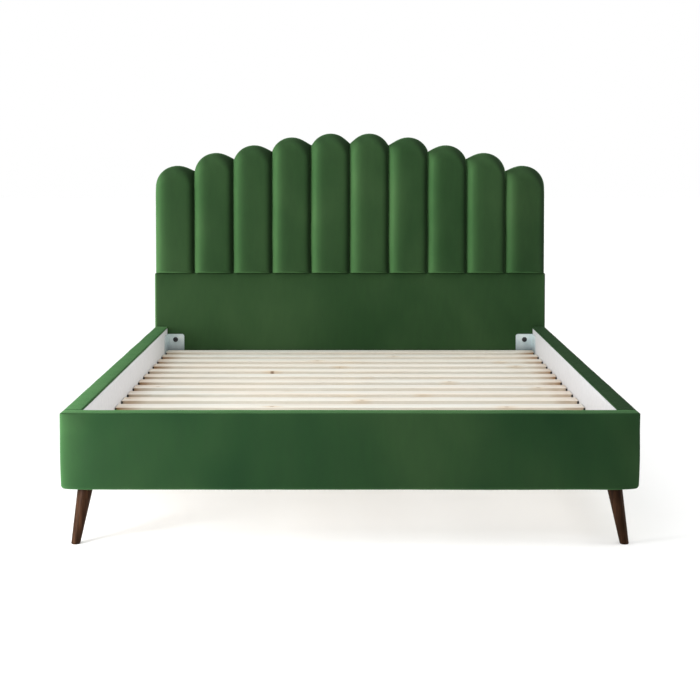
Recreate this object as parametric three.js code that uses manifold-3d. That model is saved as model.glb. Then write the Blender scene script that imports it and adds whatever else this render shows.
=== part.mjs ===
// An upholstered double bed: channelled, scalloped headboard, padded rails, a deck of plain slats and
// splayed legs. Millimetres, +Z up. X runs across the bed, the foot end faces -Y, and the headboard
// stands at +Y. The origin is on the floor at the centre of the bed's outer box.
import * as THREE from 'three';
import { mergeVertices } from 'three/addons/utils/BufferGeometryUtils.js';
import Module from 'manifold-3d';

const wasm = await Module();
wasm.setup();

// ---------------------------------------------------------------- driving dimensions
const GAP = 0.3; // clearance kept between touching pieces
const CUT = 5; // how far a cutting solid passes beyond what it cuts
const CURVE_STEPS = 6; // straight steps in a rounded corner
const COARSE_STEPS = 3; // the same, for small holes and corners
const ROUND_SIDES = { leg: 32, bolt: 18 };
const TURN = 2 * Math.PI;

const MATTRESS_WIDTH = 1500;
const MATTRESS_LENGTH = 2000;
const SIDE_CLEARANCE = 14; // from the mattress to each side lining
const END_CLEARANCE = 10; // from the mattress to the foot lining and headboard together

const RAIL_THICKNESS = 51;
const FOOT_THICKNESS = 60;
const HEADBOARD_DEPTH = 72;
const RAIL_BOTTOM = 166;
const RAIL_TOP = 377;
const SLAT_TOP = 282;

const PAD = 22; // foam and velvet over a rail's outer face
const TOP_PAD = 15; // foam and velvet over a rail's top edge
const TURN_UNDER = 2.3; // velvet folded below the timber
const LINING = 2.4;
const LINING_BOTTOM = 264;
const PAD_EDGE = 8; // rounding of a rail pad's long edges
const PAD_CORNER = 12; // rounding of the foot pad's upright corners

const CHANNELS = 10;
const CHANNEL_ROW_INSET = 2; // the channels stop this far inside the lower panel's edge
const CHANNEL_BASE = 606; // seam between the channels and the lower panel
const CHANNEL_TOPS = [1052, 1106, 1138, 1171, 1187]; // crown heights, outermost channel first
const SCALLOP_RADIUS = 88;
const ARC_STEPS = 10; // straight steps across one scallop
const CHANNEL_BULGE = 28; // how far a channel's crown stands out over the lower panel
const CHANNEL_EDGE = { depth: 44, inset: 42, steps: 4 };
const PANEL_EDGE = { depth: 10, inset: 10, steps: 3 };

const BOARD = 30;
const BACK_COVER = 2.4;
const BORDER = 4; // wadding and velvet around the board's edge

const SLATS = 15;
const SLAT = { length: 1520, width: 70, thickness: 20, pitch: 133, headGap: 10 };
const LEDGE = { width: 28, height: 40 };

const BEAM = { width: 32, height: 70 };
const HANGER = {
  steel: 2.5, length: 35, lip: 40, plateWidth: 96, plateHeight: 66, corner: 4,
  hole: 2.5, holeFromSide: 10, holeHeights: [14, 52],
};

const BRACKET = { height: 140, top: 349, headFlange: 70, sideFlange: 100, steel: 3, corner: 9 };
const BRACKET_SLOT = { length: 24, radius: 4, fromEdge: 34, fromBend: 55 };
const BEND_SLOT = { length: 9, radius: 1.5, pitch: 15, fromBend: 8 };
const BOLT = {
  fromRail: 34, z: 326, shank: 4, clearance: 0.5, length: 55, head: 10.5, headHeight: 5, socket: 3,
};

const BLOCK = { width: 70, length: 75, height: 38 };
const PLATE = { side: 70, steel: 3, corner: 8, hole: 2.5, holeInset: 11 };
const LEG = { topRadius: 22.5, footRadius: 12.75, splay: 26, footFromSide: 36, footFromEnd: 41 };
const LEG_OVERRUN = 10; // how far a leg's taper runs on before it is cut level
const CENTRE_LEG = { y: -20, radius: 17, flangeRadius: 32, padRadius: 20, padHeight: 4 };

// ---------------------------------------------------------------- derived layout
const WELL_HALF = MATTRESS_WIDTH / 2 + SIDE_CLEARANCE;
const HALF_WIDTH = WELL_HALF + RAIL_THICKNESS;
const LENGTH = FOOT_THICKNESS + MATTRESS_LENGTH + END_CLEARANCE + HEADBOARD_DEPTH;
const FOOT_Y = -LENGTH / 2;
const WELL_FOOT_Y = FOOT_Y + FOOT_THICKNESS;
const HEAD_Y = LENGTH / 2 - HEADBOARD_DEPTH;
const BACK_Y = LENGTH / 2;

const TIMBER_BOTTOM = RAIL_BOTTOM + TURN_UNDER;
const TIMBER_TOP = RAIL_TOP - TOP_PAD - GAP;
const TIMBER_OUTER_X = HALF_WIDTH - PAD - GAP;
const TIMBER_INNER_X = WELL_HALF + LINING + GAP;
const FOOT_TIMBER_OUTER_Y = FOOT_Y + PAD + GAP;
const FOOT_TIMBER_INNER_Y = WELL_FOOT_Y - LINING - GAP;

const SLAT_BOTTOM = SLAT_TOP - SLAT.thickness;
const BEAM_TOP = SLAT_BOTTOM - GAP;
const BEAM_BOTTOM = BEAM_TOP - BEAM.height;
const BEAM_FOOT_Y = FOOT_TIMBER_INNER_Y + HANGER.steel + 2 * GAP;
const BEAM_HEAD_Y = HEAD_Y - HANGER.steel - 2 * GAP;
const BOARD_BACK_Y = BACK_Y - BACK_COVER - GAP;
const BOARD_FRONT_Y = BOARD_BACK_Y - BOARD;
const CUSHION_BACK_Y = BOARD_FRONT_Y - GAP;
const ROW_HALF = HALF_WIDTH - CHANNEL_ROW_INSET;
const CHANNEL_PITCH = (2 * ROW_HALF) / CHANNELS;
const BOLT_X = WELL_HALF - BOLT.fromRail;
const BLOCK_TOP = TIMBER_BOTTOM + BLOCK.height;
const PLATE_TOP = TIMBER_BOTTOM - GAP;
const LEG_TOP = PLATE_TOP - PLATE.steel - GAP;

// The outermost scallops are arcs tangent to the board's straight sides; nearer the middle the crowns
// move back to the centre line of their own channel.
const OUTER_LEAN = SCALLOP_RADIUS - CHANNEL_PITCH / 2;
const CHANNEL_LEANS = [OUTER_LEAN, OUTER_LEAN, 4, 0, 0];

// ---------------------------------------------------------------- materials
function paint(color, roughness, metalness = 0) {
  return new THREE.MeshStandardMaterial({ color, roughness, metalness });
}

const VELVET = paint('#2f5a2b', 0.9);
const LINING_CLOTH = paint('#e0dce0', 0.9);
const PINE = paint('#e9dcc0', 0.65);
const FRAME_TIMBER = paint('#c9a878', 0.75);
const BOARD_WOOD = paint('#b8925f', 0.8);
const WALNUT = paint('#3a2417', 0.4);
const ZINC = paint('#c3ccd2', 0.35, 0.9);
const BLACK_STEEL = paint('#1b1b1d', 0.45, 0.6);

// ---------------------------------------------------------------- solids
function toManifold(geometry) {
  const bare = geometry.clone();
  bare.deleteAttribute('normal');
  bare.deleteAttribute('uv');
  const merged = mergeVertices(bare, 1e-3);
  return new wasm.Manifold(new wasm.Mesh({
    numProp: 3,
    vertProperties: new Float32Array(merged.attributes.position.array),
    triVerts: new Uint32Array(merged.index.array),
  }));
}

function toGeometry(solid) {
  const { vertProperties, triVerts } = solid.getMesh();
  const geometry = new THREE.BufferGeometry();
  geometry.setAttribute('position', new THREE.BufferAttribute(vertProperties, 3));
  geometry.setIndex(new THREE.BufferAttribute(triVerts, 1));
  geometry.computeVertexNormals();
  return geometry;
}

function boxGeometry([x0, x1], [y0, y1], [z0, z1]) {
  const geometry = new THREE.BoxGeometry(Math.abs(x1 - x0), y1 - y0, z1 - z0);
  return geometry.translate((x0 + x1) / 2, (y0 + y1) / 2, (z0 + z1) / 2);
}

function mesh(name, geometry, material, x = 0, y = 0, z = 0) {
  const piece = new THREE.Mesh(geometry, material);
  piece.name = name;
  piece.position.set(x, y, z);
  return piece;
}

function boxPiece(name, material, [x0, x1], [y0, y1], [z0, z1]) {
  const geometry = new THREE.BoxGeometry(Math.abs(x1 - x0), y1 - y0, z1 - z0);
  return mesh(name, geometry, material, (x0 + x1) / 2, (y0 + y1) / 2, (z0 + z1) / 2);
}

function group(...pieces) {
  const parent = new THREE.Group();
  parent.add(...pieces);
  return parent;
}

function roundHole(x, y, radius) {
  return new THREE.Path().absarc(x, y, radius, 0, TURN, false);
}

// A rectangle from (0, 0). Its corner radii are listed bottom left, bottom right, top right, top left.
function roundedRectangle(width, height, [bl, br, tr, tl]) {
  const shape = new THREE.Shape();
  shape.moveTo(bl, 0);
  shape.lineTo(width - br, 0);
  if (br > 0) shape.absarc(width - br, br, br, -Math.PI / 2, 0, false);
  shape.lineTo(width, height - tr);
  if (tr > 0) shape.absarc(width - tr, height - tr, tr, 0, Math.PI / 2, false);
  shape.lineTo(tl, height);
  if (tl > 0) shape.absarc(tl, height - tl, tl, Math.PI / 2, Math.PI, false);
  shape.lineTo(0, bl);
  if (bl > 0) shape.absarc(bl, bl, bl, Math.PI, 1.5 * Math.PI, false);
  return shape;
}

// A sheet of the given outline and thickness. Its outline lies in X and Z and it grows towards -Y.
function panel(shape, thickness, curveSegments = CURVE_STEPS) {
  const options = { depth: thickness, bevelEnabled: false, curveSegments };
  return new THREE.ExtrudeGeometry(shape, options).rotateX(Math.PI / 2);
}

// A cushion over a flat back. Rings of the outline step towards -Y, each drawn in from the outline's
// box as an elliptical edge would be. The outline runs anticlockwise seen from the foot end.
function cushion(outline, thickness, edge) {
  const bounds = new THREE.Box2().setFromPoints(outline);
  const middle = bounds.getCenter(new THREE.Vector2());
  const half = bounds.getSize(new THREE.Vector2()).multiplyScalar(0.5);
  const rings = [{ depth: 0, drawIn: 0 }];
  for (let step = 0; step <= edge.steps; step++) {
    const angle = (Math.PI / 2) * (step / edge.steps);
    rings.push({
      depth: thickness - edge.depth * (1 - Math.sin(angle)),
      drawIn: edge.inset * (1 - Math.cos(angle)),
    });
  }
  const positions = rings.flatMap(({ depth, drawIn }) => outline.flatMap((point) => [
    middle.x + (point.x - middle.x) * (1 - drawIn / half.x),
    -depth,
    middle.y + (point.y - middle.y) * (1 - drawIn / half.y),
  ]));
  const geometry = new THREE.BufferGeometry();
  geometry.setAttribute('position', new THREE.Float32BufferAttribute(positions, 3));
  geometry.setIndex(ringFaces(outline, rings.length));
  geometry.computeVertexNormals();
  return geometry;
}

function ringFaces(outline, ringCount) {
  const count = outline.length;
  const front = (ringCount - 1) * count;
  const faces = [];
  for (const [a, b, c] of THREE.ShapeUtils.triangulateShape([...outline], [])) {
    faces.push(front + a, front + b, front + c, a, c, b);
  }
  for (let ring = 0; ring < ringCount - 1; ring++) {
    for (let point = 0; point < count; point++) {
      const back = ring * count + point;
      const backNext = ring * count + ((point + 1) % count);
      faces.push(back, backNext + count, back + count, back, backNext, backNext + count);
    }
  }
  return faces;
}

function rodAlongY(x, z, radius, [y0, y1]) {
  const rod = new THREE.CylinderGeometry(radius, radius, y1 - y0, ROUND_SIDES.bolt);
  return rod.translate(x, (y0 + y1) / 2, z);
}

// ---------------------------------------------------------------- headboard
function channelCentre(index) {
  return -ROW_HALF + (index + 0.5) * CHANNEL_PITCH;
}

// A scallop's crown: channels pair up from the outside in, so the outline is symmetric.
function crown(index) {
  const fromOutside = Math.min(index, CHANNELS - 1 - index);
  const x = channelCentre(index);
  return { x: x - Math.sign(x) * CHANNEL_LEANS[fromOutside], z: CHANNEL_TOPS[fromOutside] };
}

// Height of one channel's scallop at x, with the arc drawn in by inset.
function scallopHeight(index, x, inset) {
  const { x: crownX, z: crownZ } = crown(index);
  const squared = (SCALLOP_RADIUS - inset) ** 2 - (x - crownX) ** 2;
  return crownZ - SCALLOP_RADIUS + Math.sqrt(Math.max(squared, 0));
}

// Points over one channel's scallop, left to right, closer together near its edges.
function scallop(index, leftTrim, rightTrim, inset) {
  const left = channelCentre(index) - CHANNEL_PITCH / 2 + leftTrim;
  const right = channelCentre(index) + CHANNEL_PITCH / 2 - rightTrim;
  const points = [];
  for (let step = 0; step <= ARC_STEPS; step++) {
    const x = (left + right) / 2 - ((right - left) / 2) * Math.cos((Math.PI * step) / ARC_STEPS);
    points.push(new THREE.Vector2(x, scallopHeight(index, x, inset)));
  }
  return points;
}

// The board's whole outline from its left foot over the scallops to its right foot. Each channel is
// higher than the next one out, so drawing the outline in moves its outer edge only.
function boardOutline(inset) {
  const points = [new THREE.Vector2(-ROW_HALF + inset, TIMBER_BOTTOM)];
  for (let index = 0; index < CHANNELS; index++) {
    const leftHalf = index < CHANNELS / 2;
    points.push(...scallop(index, leftHalf ? inset : 0, leftHalf ? 0 : inset, inset));
  }
  points.push(new THREE.Vector2(ROW_HALF - inset, TIMBER_BOTTOM));
  return points;
}

function boltHoles(solid) {
  const bore = BOLT.shank + BOLT.clearance;
  const reach = [HEAD_Y - BRACKET.steel - CUT, HEAD_Y + BOLT.length];
  return [-1, 1].reduce(
    (kept, side) => kept.subtract(toManifold(rodAlongY(side * BOLT_X, BOLT.z, bore, reach))),
    solid,
  );
}

function headboardBoard() {
  const solid = toManifold(panel(new THREE.Shape(boardOutline(BORDER)), BOARD));
  const bored = boltHoles(solid.translate([0, BOARD_BACK_Y, 0]));
  return mesh('headboard_board', toGeometry(bored), BOARD_WOOD);
}

// The velvet-covered band around the board's edge, open along the bottom.
function headboardBorder() {
  const outer = boardOutline(0);
  const inner = boardOutline(BORDER - GAP).reverse();
  const band = new THREE.Shape([...outer, ...inner]);
  return mesh('headboard_border', panel(band, BOARD), VELVET, 0, BOARD_BACK_Y);
}

function headboardBackCover() {
  const cloth = panel(new THREE.Shape(boardOutline(0)), BACK_COVER);
  return mesh('headboard_back_cover', cloth, VELVET, 0, BACK_Y);
}

function headboardChannel(index) {
  const top = scallop(index, GAP, GAP, 0).reverse();
  const base = CHANNEL_BASE + GAP;
  const outline = [new THREE.Vector2(top.at(-1).x, base), new THREE.Vector2(top[0].x, base), ...top];
  const thickness = CUSHION_BACK_Y - HEAD_Y + CHANNEL_BULGE;
  const name = `headboard_channel_${String(index + 1).padStart(2, '0')}`;
  return mesh(name, cushion(outline, thickness, CHANNEL_EDGE), VELVET, 0, CUSHION_BACK_Y);
}

function headboardLowerPad() {
  const outline = [
    new THREE.Vector2(-HALF_WIDTH, RAIL_BOTTOM),
    new THREE.Vector2(HALF_WIDTH, RAIL_BOTTOM),
    new THREE.Vector2(HALF_WIDTH, CHANNEL_BASE - GAP),
    new THREE.Vector2(-HALF_WIDTH, CHANNEL_BASE - GAP),
  ];
  const soft = toManifold(cushion(outline, CUSHION_BACK_Y - HEAD_Y, PANEL_EDGE));
  const bored = boltHoles(soft.translate([0, CUSHION_BACK_Y, 0]));
  return mesh('headboard_lower_pad', toGeometry(bored), VELVET);
}

function headboard() {
  const channels = Array.from({ length: CHANNELS }, (_, index) => headboardChannel(index));
  return group(
    headboardBoard(),
    headboardBorder(),
    headboardBackCover(),
    headboardLowerPad(),
    ...channels,
  );
}

// ---------------------------------------------------------------- side rails
function sideTimber(name, side) {
  const across = [side * TIMBER_INNER_X, side * TIMBER_OUTER_X];
  return boxPiece(name, FRAME_TIMBER, across, [FOOT_TIMBER_INNER_Y + GAP, HEAD_Y - 2 * GAP],
    [TIMBER_BOTTOM, TIMBER_TOP]);
}

// Velvet over foam: down the rail's outer face and across its top, as one bent pad.
function sidePad(name, side) {
  const length = HEAD_Y - WELL_FOOT_Y - 2 * GAP;
  const height = RAIL_TOP - RAIL_BOTTOM;
  const corners = side > 0
    ? [0, PAD_EDGE, PAD_EDGE, PAD_EDGE / 2]
    : [PAD_EDGE, 0, PAD_EDGE / 2, PAD_EDGE];
  const outer = panel(roundedRectangle(RAIL_THICKNESS, height, corners), length);
  const behindPad = side > 0 ? [-CUT, RAIL_THICKNESS - PAD] : [PAD, RAIL_THICKNESS + CUT];
  const core = boxGeometry(behindPad, [-length - CUT, CUT], [-CUT, height - TOP_PAD]);
  const solid = toManifold(outer).subtract(toManifold(core));
  const left = side > 0 ? WELL_HALF : -HALF_WIDTH;
  return mesh(name, toGeometry(solid), VELVET, left, HEAD_Y - GAP, RAIL_BOTTOM);
}

function sideLining(name, side) {
  const across = [side * WELL_HALF, side * (WELL_HALF + LINING)];
  return boxPiece(name, LINING_CLOTH, across, [FOOT_TIMBER_INNER_Y + GAP, HEAD_Y - GAP],
    [LINING_BOTTOM, TIMBER_TOP]);
}

// The batten that carries the slat ends, rebated at the head end for the bracket.
function slatLedge(name, side) {
  const outerX = TIMBER_INNER_X - GAP;
  const batten = boxGeometry([side * (outerX - LEDGE.width), side * outerX],
    [FOOT_TIMBER_INNER_Y + GAP, HEAD_Y - 2 * BRACKET.steel],
    [SLAT_BOTTOM - GAP - LEDGE.height, SLAT_BOTTOM - GAP]);
  const rebate = boxGeometry(
    [side * (WELL_HALF - BRACKET.steel - 2 * GAP), side * (outerX + CUT)],
    [HEAD_Y - BRACKET.sideFlange - 3 * GAP, HEAD_Y],
    [TIMBER_BOTTOM, SLAT_TOP]);
  const solid = toManifold(batten).subtract(toManifold(rebate));
  return mesh(name, toGeometry(solid), PINE);
}

function sideRail(suffix, side) {
  return group(
    sideTimber(`side_rail_${suffix}`, side),
    sidePad(`side_pad_${suffix}`, side),
    sideLining(`side_lining_${suffix}`, side),
    slatLedge(`slat_ledge_${suffix}`, side),
  );
}

// ---------------------------------------------------------------- foot end
function footTimber() {
  return boxPiece('foot_rail', FRAME_TIMBER, [-TIMBER_OUTER_X, TIMBER_OUTER_X],
    [FOOT_TIMBER_OUTER_Y, FOOT_TIMBER_INNER_Y], [TIMBER_BOTTOM, TIMBER_TOP]);
}

// Wraps the foot rail's face, top and both ends.
function footPad() {
  const height = RAIL_TOP - RAIL_BOTTOM;
  const block = new THREE.ExtrudeGeometry(
    roundedRectangle(2 * HALF_WIDTH, FOOT_THICKNESS, Array(4).fill(PAD_CORNER)),
    {
      depth: height - 2 * PAD_EDGE,
      bevelThickness: PAD_EDGE,
      bevelSize: PAD_EDGE,
      bevelOffset: -PAD_EDGE,
      bevelSegments: COARSE_STEPS,
      curveSegments: COARSE_STEPS,
    },
  );
  block.translate(-HALF_WIDTH, FOOT_Y, RAIL_BOTTOM + PAD_EDGE);
  const pocketX = TIMBER_OUTER_X + GAP;
  const pocket = boxGeometry([-pocketX, pocketX], [FOOT_TIMBER_OUTER_Y - GAP, WELL_FOOT_Y + CUT],
    [RAIL_BOTTOM - CUT, TIMBER_TOP + GAP]);
  return mesh('foot_pad', toGeometry(toManifold(block).subtract(toManifold(pocket))), VELVET);
}

function footLining() {
  return boxPiece('foot_lining', LINING_CLOTH, [-WELL_HALF + GAP, WELL_HALF - GAP],
    [WELL_FOOT_Y - LINING, WELL_FOOT_Y], [LINING_BOTTOM, TIMBER_TOP]);
}

// ---------------------------------------------------------------- slats and centre beam
function slat(index) {
  const rearY = HEAD_Y - SLAT.headGap - index * SLAT.pitch;
  const name = `slat_${String(index + 1).padStart(2, '0')}`;
  return boxPiece(name, PINE, [-SLAT.length / 2, SLAT.length / 2], [rearY - SLAT.width, rearY],
    [SLAT_BOTTOM, SLAT_TOP]);
}

function centreBeam() {
  return boxPiece('centre_beam', PINE, [-BEAM.width / 2, BEAM.width / 2], [BEAM_FOOT_Y, BEAM_HEAD_Y],
    [BEAM_BOTTOM, BEAM_TOP]);
}

// A steel stirrup under the beam's end: a screwed plate with a U-shaped seat standing out of it.
function beamHanger(name, wallY, outward) {
  const seatHalf = BEAM.width / 2 + GAP;
  const seatZ = BEAM_BOTTOM - GAP;
  const { steel, plateWidth, plateHeight, corner: rounding, holeFromSide } = HANGER;
  const plate = roundedRectangle(plateWidth, plateHeight, Array(4).fill(rounding));
  for (const z of HANGER.holeHeights) {
    plate.holes.push(roundHole(holeFromSide, z, HANGER.hole));
    plate.holes.push(roundHole(plateWidth - holeFromSide, z, HANGER.hole));
  }
  const back = panel(plate, steel, COARSE_STEPS)
    .translate(-plateWidth / 2, outward > 0 ? wallY + steel : wallY, seatZ - steel);
  const reach = [wallY, wallY + outward * HANGER.length].sort((a, b) => a - b);
  const outer = boxGeometry([-seatHalf - steel, seatHalf + steel], reach,
    [seatZ - steel, seatZ + HANGER.lip]);
  const hollowY = outward > 0 ? [wallY + steel, reach[1] + CUT] : [reach[0] - CUT, wallY - steel];
  const hollow = boxGeometry([-seatHalf, seatHalf], hollowY, [seatZ, seatZ + HANGER.lip + CUT]);
  const solid = toManifold(outer).add(toManifold(back)).subtract(toManifold(hollow));
  return mesh(name, toGeometry(solid), ZINC);
}

function centreLeg() {
  const top = BEAM_BOTTOM - GAP;
  const profile = [
    [0, 0],
    [CENTRE_LEG.padRadius, 0],
    [CENTRE_LEG.padRadius, CENTRE_LEG.padHeight],
    [CENTRE_LEG.radius, CENTRE_LEG.padHeight],
    [CENTRE_LEG.radius, top - PLATE.steel],
    [CENTRE_LEG.flangeRadius, top - PLATE.steel],
    [CENTRE_LEG.flangeRadius, top],
    [0, top],
  ].map(([radius, z]) => new THREE.Vector2(radius, z));
  const piece = mesh('centre_leg', new THREE.LatheGeometry(profile, ROUND_SIDES.leg), BLACK_STEEL, 0,
    CENTRE_LEG.y);
  piece.rotation.x = Math.PI / 2;
  return piece;
}

// ---------------------------------------------------------------- head brackets and bolts
// A steel angle in the corner of side rail and headboard: round bolt holes to the headboard, slots to
// the rail, and a row of short slots that ease the bend.
function headBracket(name, side) {
  const { height, top, headFlange, sideFlange, steel, corner: rounding } = BRACKET;
  const bottom = top - height;
  const cornerX = WELL_HALF - GAP;
  const wallY = HEAD_Y - GAP;
  const headCorners = side > 0 ? [rounding, 0, 0, rounding] : [0, rounding, rounding, 0];
  const head = roundedRectangle(headFlange, height, headCorners);
  const holeX = side > 0 ? headFlange - BOLT.fromRail + GAP : BOLT.fromRail - GAP;
  for (const holeZ of [BOLT.z - bottom, height - BOLT.z + bottom]) {
    head.holes.push(roundHole(holeX, holeZ, BOLT.shank + BOLT.clearance));
  }
  const headLeft = side > 0 ? cornerX - headFlange : -cornerX;
  const headPlate = panel(head, steel).translate(headLeft, wallY, bottom);
  const flank = roundedRectangle(sideFlange, height, [0, rounding, rounding, 0]);
  for (const slotZ of [BRACKET_SLOT.fromEdge, height - BRACKET_SLOT.fromEdge]) {
    flank.holes.push(slot(BRACKET_SLOT.fromBend, slotZ, BRACKET_SLOT.length, BRACKET_SLOT.radius));
  }
  for (let slotZ = BEND_SLOT.pitch; slotZ < height; slotZ += BEND_SLOT.pitch) {
    flank.holes.push(uprightSlot(BEND_SLOT.fromBend, slotZ));
  }
  const flankPlate = panel(flank, steel).rotateZ(-Math.PI / 2)
    .translate(side > 0 ? cornerX : steel - cornerX, wallY, bottom);
  return mesh(name, toGeometry(toManifold(headPlate).add(toManifold(flankPlate))), ZINC);
}

// A slot centred on (x, y), lying along x.
function slot(x, y, length, radius) {
  const half = length / 2 - radius;
  return new THREE.Path()
    .moveTo(x - half, y - radius)
    .lineTo(x + half, y - radius)
    .absarc(x + half, y, radius, -Math.PI / 2, Math.PI / 2, false)
    .lineTo(x - half, y + radius)
    .absarc(x - half, y, radius, Math.PI / 2, 1.5 * Math.PI, false);
}

// A short slot centred on (x, y), lying along y.
function uprightSlot(x, y) {
  const { length, radius } = BEND_SLOT;
  const half = length / 2 - radius;
  return new THREE.Path()
    .moveTo(x + radius, y - half)
    .lineTo(x + radius, y + half)
    .absarc(x, y + half, radius, 0, Math.PI, false)
    .lineTo(x - radius, y - half)
    .absarc(x, y - half, radius, Math.PI, TURN, false);
}

// Button-headed bolt through the bracket into the headboard's board, its head towards the foot end.
function headBolt(name, side) {
  const { head, headHeight, socket, shank, length } = BOLT;
  const profile = [
    [0, -0.4 * headHeight],
    [socket, -0.4 * headHeight],
    [socket, -headHeight],
    [0.55 * head, -headHeight],
    [0.9 * head, -0.6 * headHeight],
    [head, -GAP],
    [shank, -GAP],
    [shank, length],
    [0, length],
  ].map(([radius, y]) => new THREE.Vector2(radius, y));
  const seatY = HEAD_Y - GAP - BRACKET.steel;
  const turned = new THREE.LatheGeometry(profile, ROUND_SIDES.bolt);
  return mesh(name, turned, BLACK_STEEL, side * BOLT_X, seatY, BOLT.z);
}

// ---------------------------------------------------------------- corners and legs
// sideX and endY are -1 or 1: which side and which end of the bed the corner is at.
function cornerBlock(name, sideX, endY) {
  const x = TIMBER_INNER_X - GAP;
  const y = endY < 0 ? FOOT_TIMBER_INNER_Y + GAP : HEAD_Y - 2 * GAP;
  const along = [y, y - endY * BLOCK.length].sort((a, b) => a - b);
  return boxPiece(name, PINE, [sideX * (x - BLOCK.width), sideX * x], along, [TIMBER_BOTTOM, BLOCK_TOP]);
}

function legFoot(sideX, endY) {
  const endFace = endY < 0 ? FOOT_Y : HEAD_Y;
  return { x: sideX * (HALF_WIDTH - LEG.footFromSide), y: endFace - endY * LEG.footFromEnd };
}

function legPlate(name, sideX, endY) {
  const shape = roundedRectangle(PLATE.side, PLATE.side, Array(4).fill(PLATE.corner));
  const near = PLATE.holeInset;
  const far = PLATE.side - PLATE.holeInset;
  for (const [x, y] of [[near, near], [far, near], [near, far], [far, far]]) {
    shape.holes.push(roundHole(x, y, PLATE.hole));
  }
  const options = { depth: PLATE.steel, bevelEnabled: false, curveSegments: COARSE_STEPS };
  const steel = new THREE.ExtrudeGeometry(shape, options);
  const foot = legFoot(sideX, endY);
  return mesh(name, steel, BLACK_STEEL, foot.x - sideX * LEG.splay - PLATE.side / 2,
    foot.y - endY * LEG.splay - PLATE.side / 2, PLATE_TOP - PLATE.steel);
}

// A tapered round leg leaning out towards its corner, cut level at the floor and under its plate.
function leg(name, sideX, endY) {
  const foot = new THREE.Vector3(0, 0, 0);
  const top = new THREE.Vector3(-sideX * LEG.splay, -endY * LEG.splay, LEG_TOP);
  const length = foot.distanceTo(top);
  const widening = ((LEG.topRadius - LEG.footRadius) * LEG_OVERRUN) / length;
  const taper = new THREE.CylinderGeometry(LEG.topRadius + widening, LEG.footRadius - widening,
    length + 2 * LEG_OVERRUN, ROUND_SIDES.leg);
  const axis = top.clone().sub(foot).normalize();
  taper.applyQuaternion(new THREE.Quaternion().setFromUnitVectors(new THREE.Vector3(0, 1, 0), axis));
  taper.translate(top.x / 2, top.y / 2, top.z / 2);
  const reach = LEG.splay + LEG.topRadius + CUT;
  const level = boxGeometry([-reach, reach], [-reach, reach], [0, LEG_TOP]);
  const solid = toManifold(taper).intersect(toManifold(level));
  const place = legFoot(sideX, endY);
  return mesh(name, toGeometry(solid), WALNUT, place.x, place.y);
}

function corner(suffix, sideX, endY) {
  return group(
    cornerBlock(`corner_block_${suffix}`, sideX, endY),
    legPlate(`leg_plate_${suffix}`, sideX, endY),
    leg(`leg_${suffix}`, sideX, endY),
  );
}

// ---------------------------------------------------------------- the whole bed
const bed = group(
  headboard(),
  sideRail('left', -1),
  sideRail('right', 1),
  footTimber(),
  footPad(),
  footLining(),
  headBracket('head_bracket_left', -1),
  headBracket('head_bracket_right', 1),
  headBolt('head_bolt_left', -1),
  headBolt('head_bolt_right', 1),
  corner('foot_left', -1, -1),
  corner('foot_right', 1, -1),
  corner('head_left', -1, 1),
  corner('head_right', 1, 1),
  centreBeam(),
  centreLeg(),
  beamHanger('beam_hanger_foot', FOOT_TIMBER_INNER_Y + GAP, 1),
  beamHanger('beam_hanger_head', HEAD_Y - GAP, -1),
  ...Array.from({ length: SLATS }, (_, index) => slat(index)),
);

export default bed;
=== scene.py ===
"""Looks of the channelled velvet bed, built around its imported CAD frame. Metres, +Z up, foot end at -Y."""
import math

import bmesh
import bpy
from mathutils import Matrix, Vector, noise


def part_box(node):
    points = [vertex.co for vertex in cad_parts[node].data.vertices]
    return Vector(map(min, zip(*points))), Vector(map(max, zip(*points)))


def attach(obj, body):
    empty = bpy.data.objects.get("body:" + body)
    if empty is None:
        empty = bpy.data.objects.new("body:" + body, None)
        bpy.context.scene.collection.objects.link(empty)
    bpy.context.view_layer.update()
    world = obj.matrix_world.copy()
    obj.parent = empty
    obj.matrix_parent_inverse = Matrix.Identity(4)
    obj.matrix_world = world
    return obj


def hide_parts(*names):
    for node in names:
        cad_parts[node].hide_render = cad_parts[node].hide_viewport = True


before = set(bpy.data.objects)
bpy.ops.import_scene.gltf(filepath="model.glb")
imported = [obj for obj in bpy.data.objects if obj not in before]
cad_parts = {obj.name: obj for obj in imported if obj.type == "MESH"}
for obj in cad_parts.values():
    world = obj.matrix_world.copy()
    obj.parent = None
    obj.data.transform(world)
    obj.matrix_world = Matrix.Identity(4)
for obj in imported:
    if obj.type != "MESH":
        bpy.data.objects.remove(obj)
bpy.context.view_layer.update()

MM = 0.001
X, Y, Z = 0, 1, 2
BODY = "root"

# ---------------------------------------------------------------- sizes read from the frame
FOOT_LOW, FOOT_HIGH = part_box("foot_pad")
LOWER_LOW, LOWER_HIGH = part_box("headboard_lower_pad")
WELL_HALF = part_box("side_lining_right")[0].x

HALF_WIDTH = FOOT_HIGH.x
FOOT_Y = FOOT_LOW.y
RAIL_BOTTOM = FOOT_LOW.z
RAIL_TOP = FOOT_HIGH.z
HEAD_Y = LOWER_LOW.y
BACK_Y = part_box("headboard_back_cover")[1].y
SEAM_Z = LOWER_HIGH.z
CUSHION_BACK_Y = LOWER_HIGH.y
RAIL_THICKNESS = HALF_WIDTH - WELL_HALF

# ---------------------------------------------------------------- headboard outline
CHANNELS = 10
CHANNEL_BOXES = [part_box(f"headboard_channel_{n + 1:02d}") for n in range(CHANNELS)]
ROW_HALF = HALF_WIDTH - 2 * MM
PITCH = 2 * ROW_HALF / CHANNELS
SCALLOP_RADIUS = 88 * MM
OUTER_LEAN = SCALLOP_RADIUS - PITCH / 2
LEANS = (OUTER_LEAN, OUTER_LEAN, 4 * MM, 0.0, 0.0)  # crown towards the bed's centre, outermost first
VALLEYS = (1.027, 1.078, 1.109, 1.138, 1.141)  # fold between a channel and the next one in
VALLEY_BLEND = 30 * MM


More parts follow.
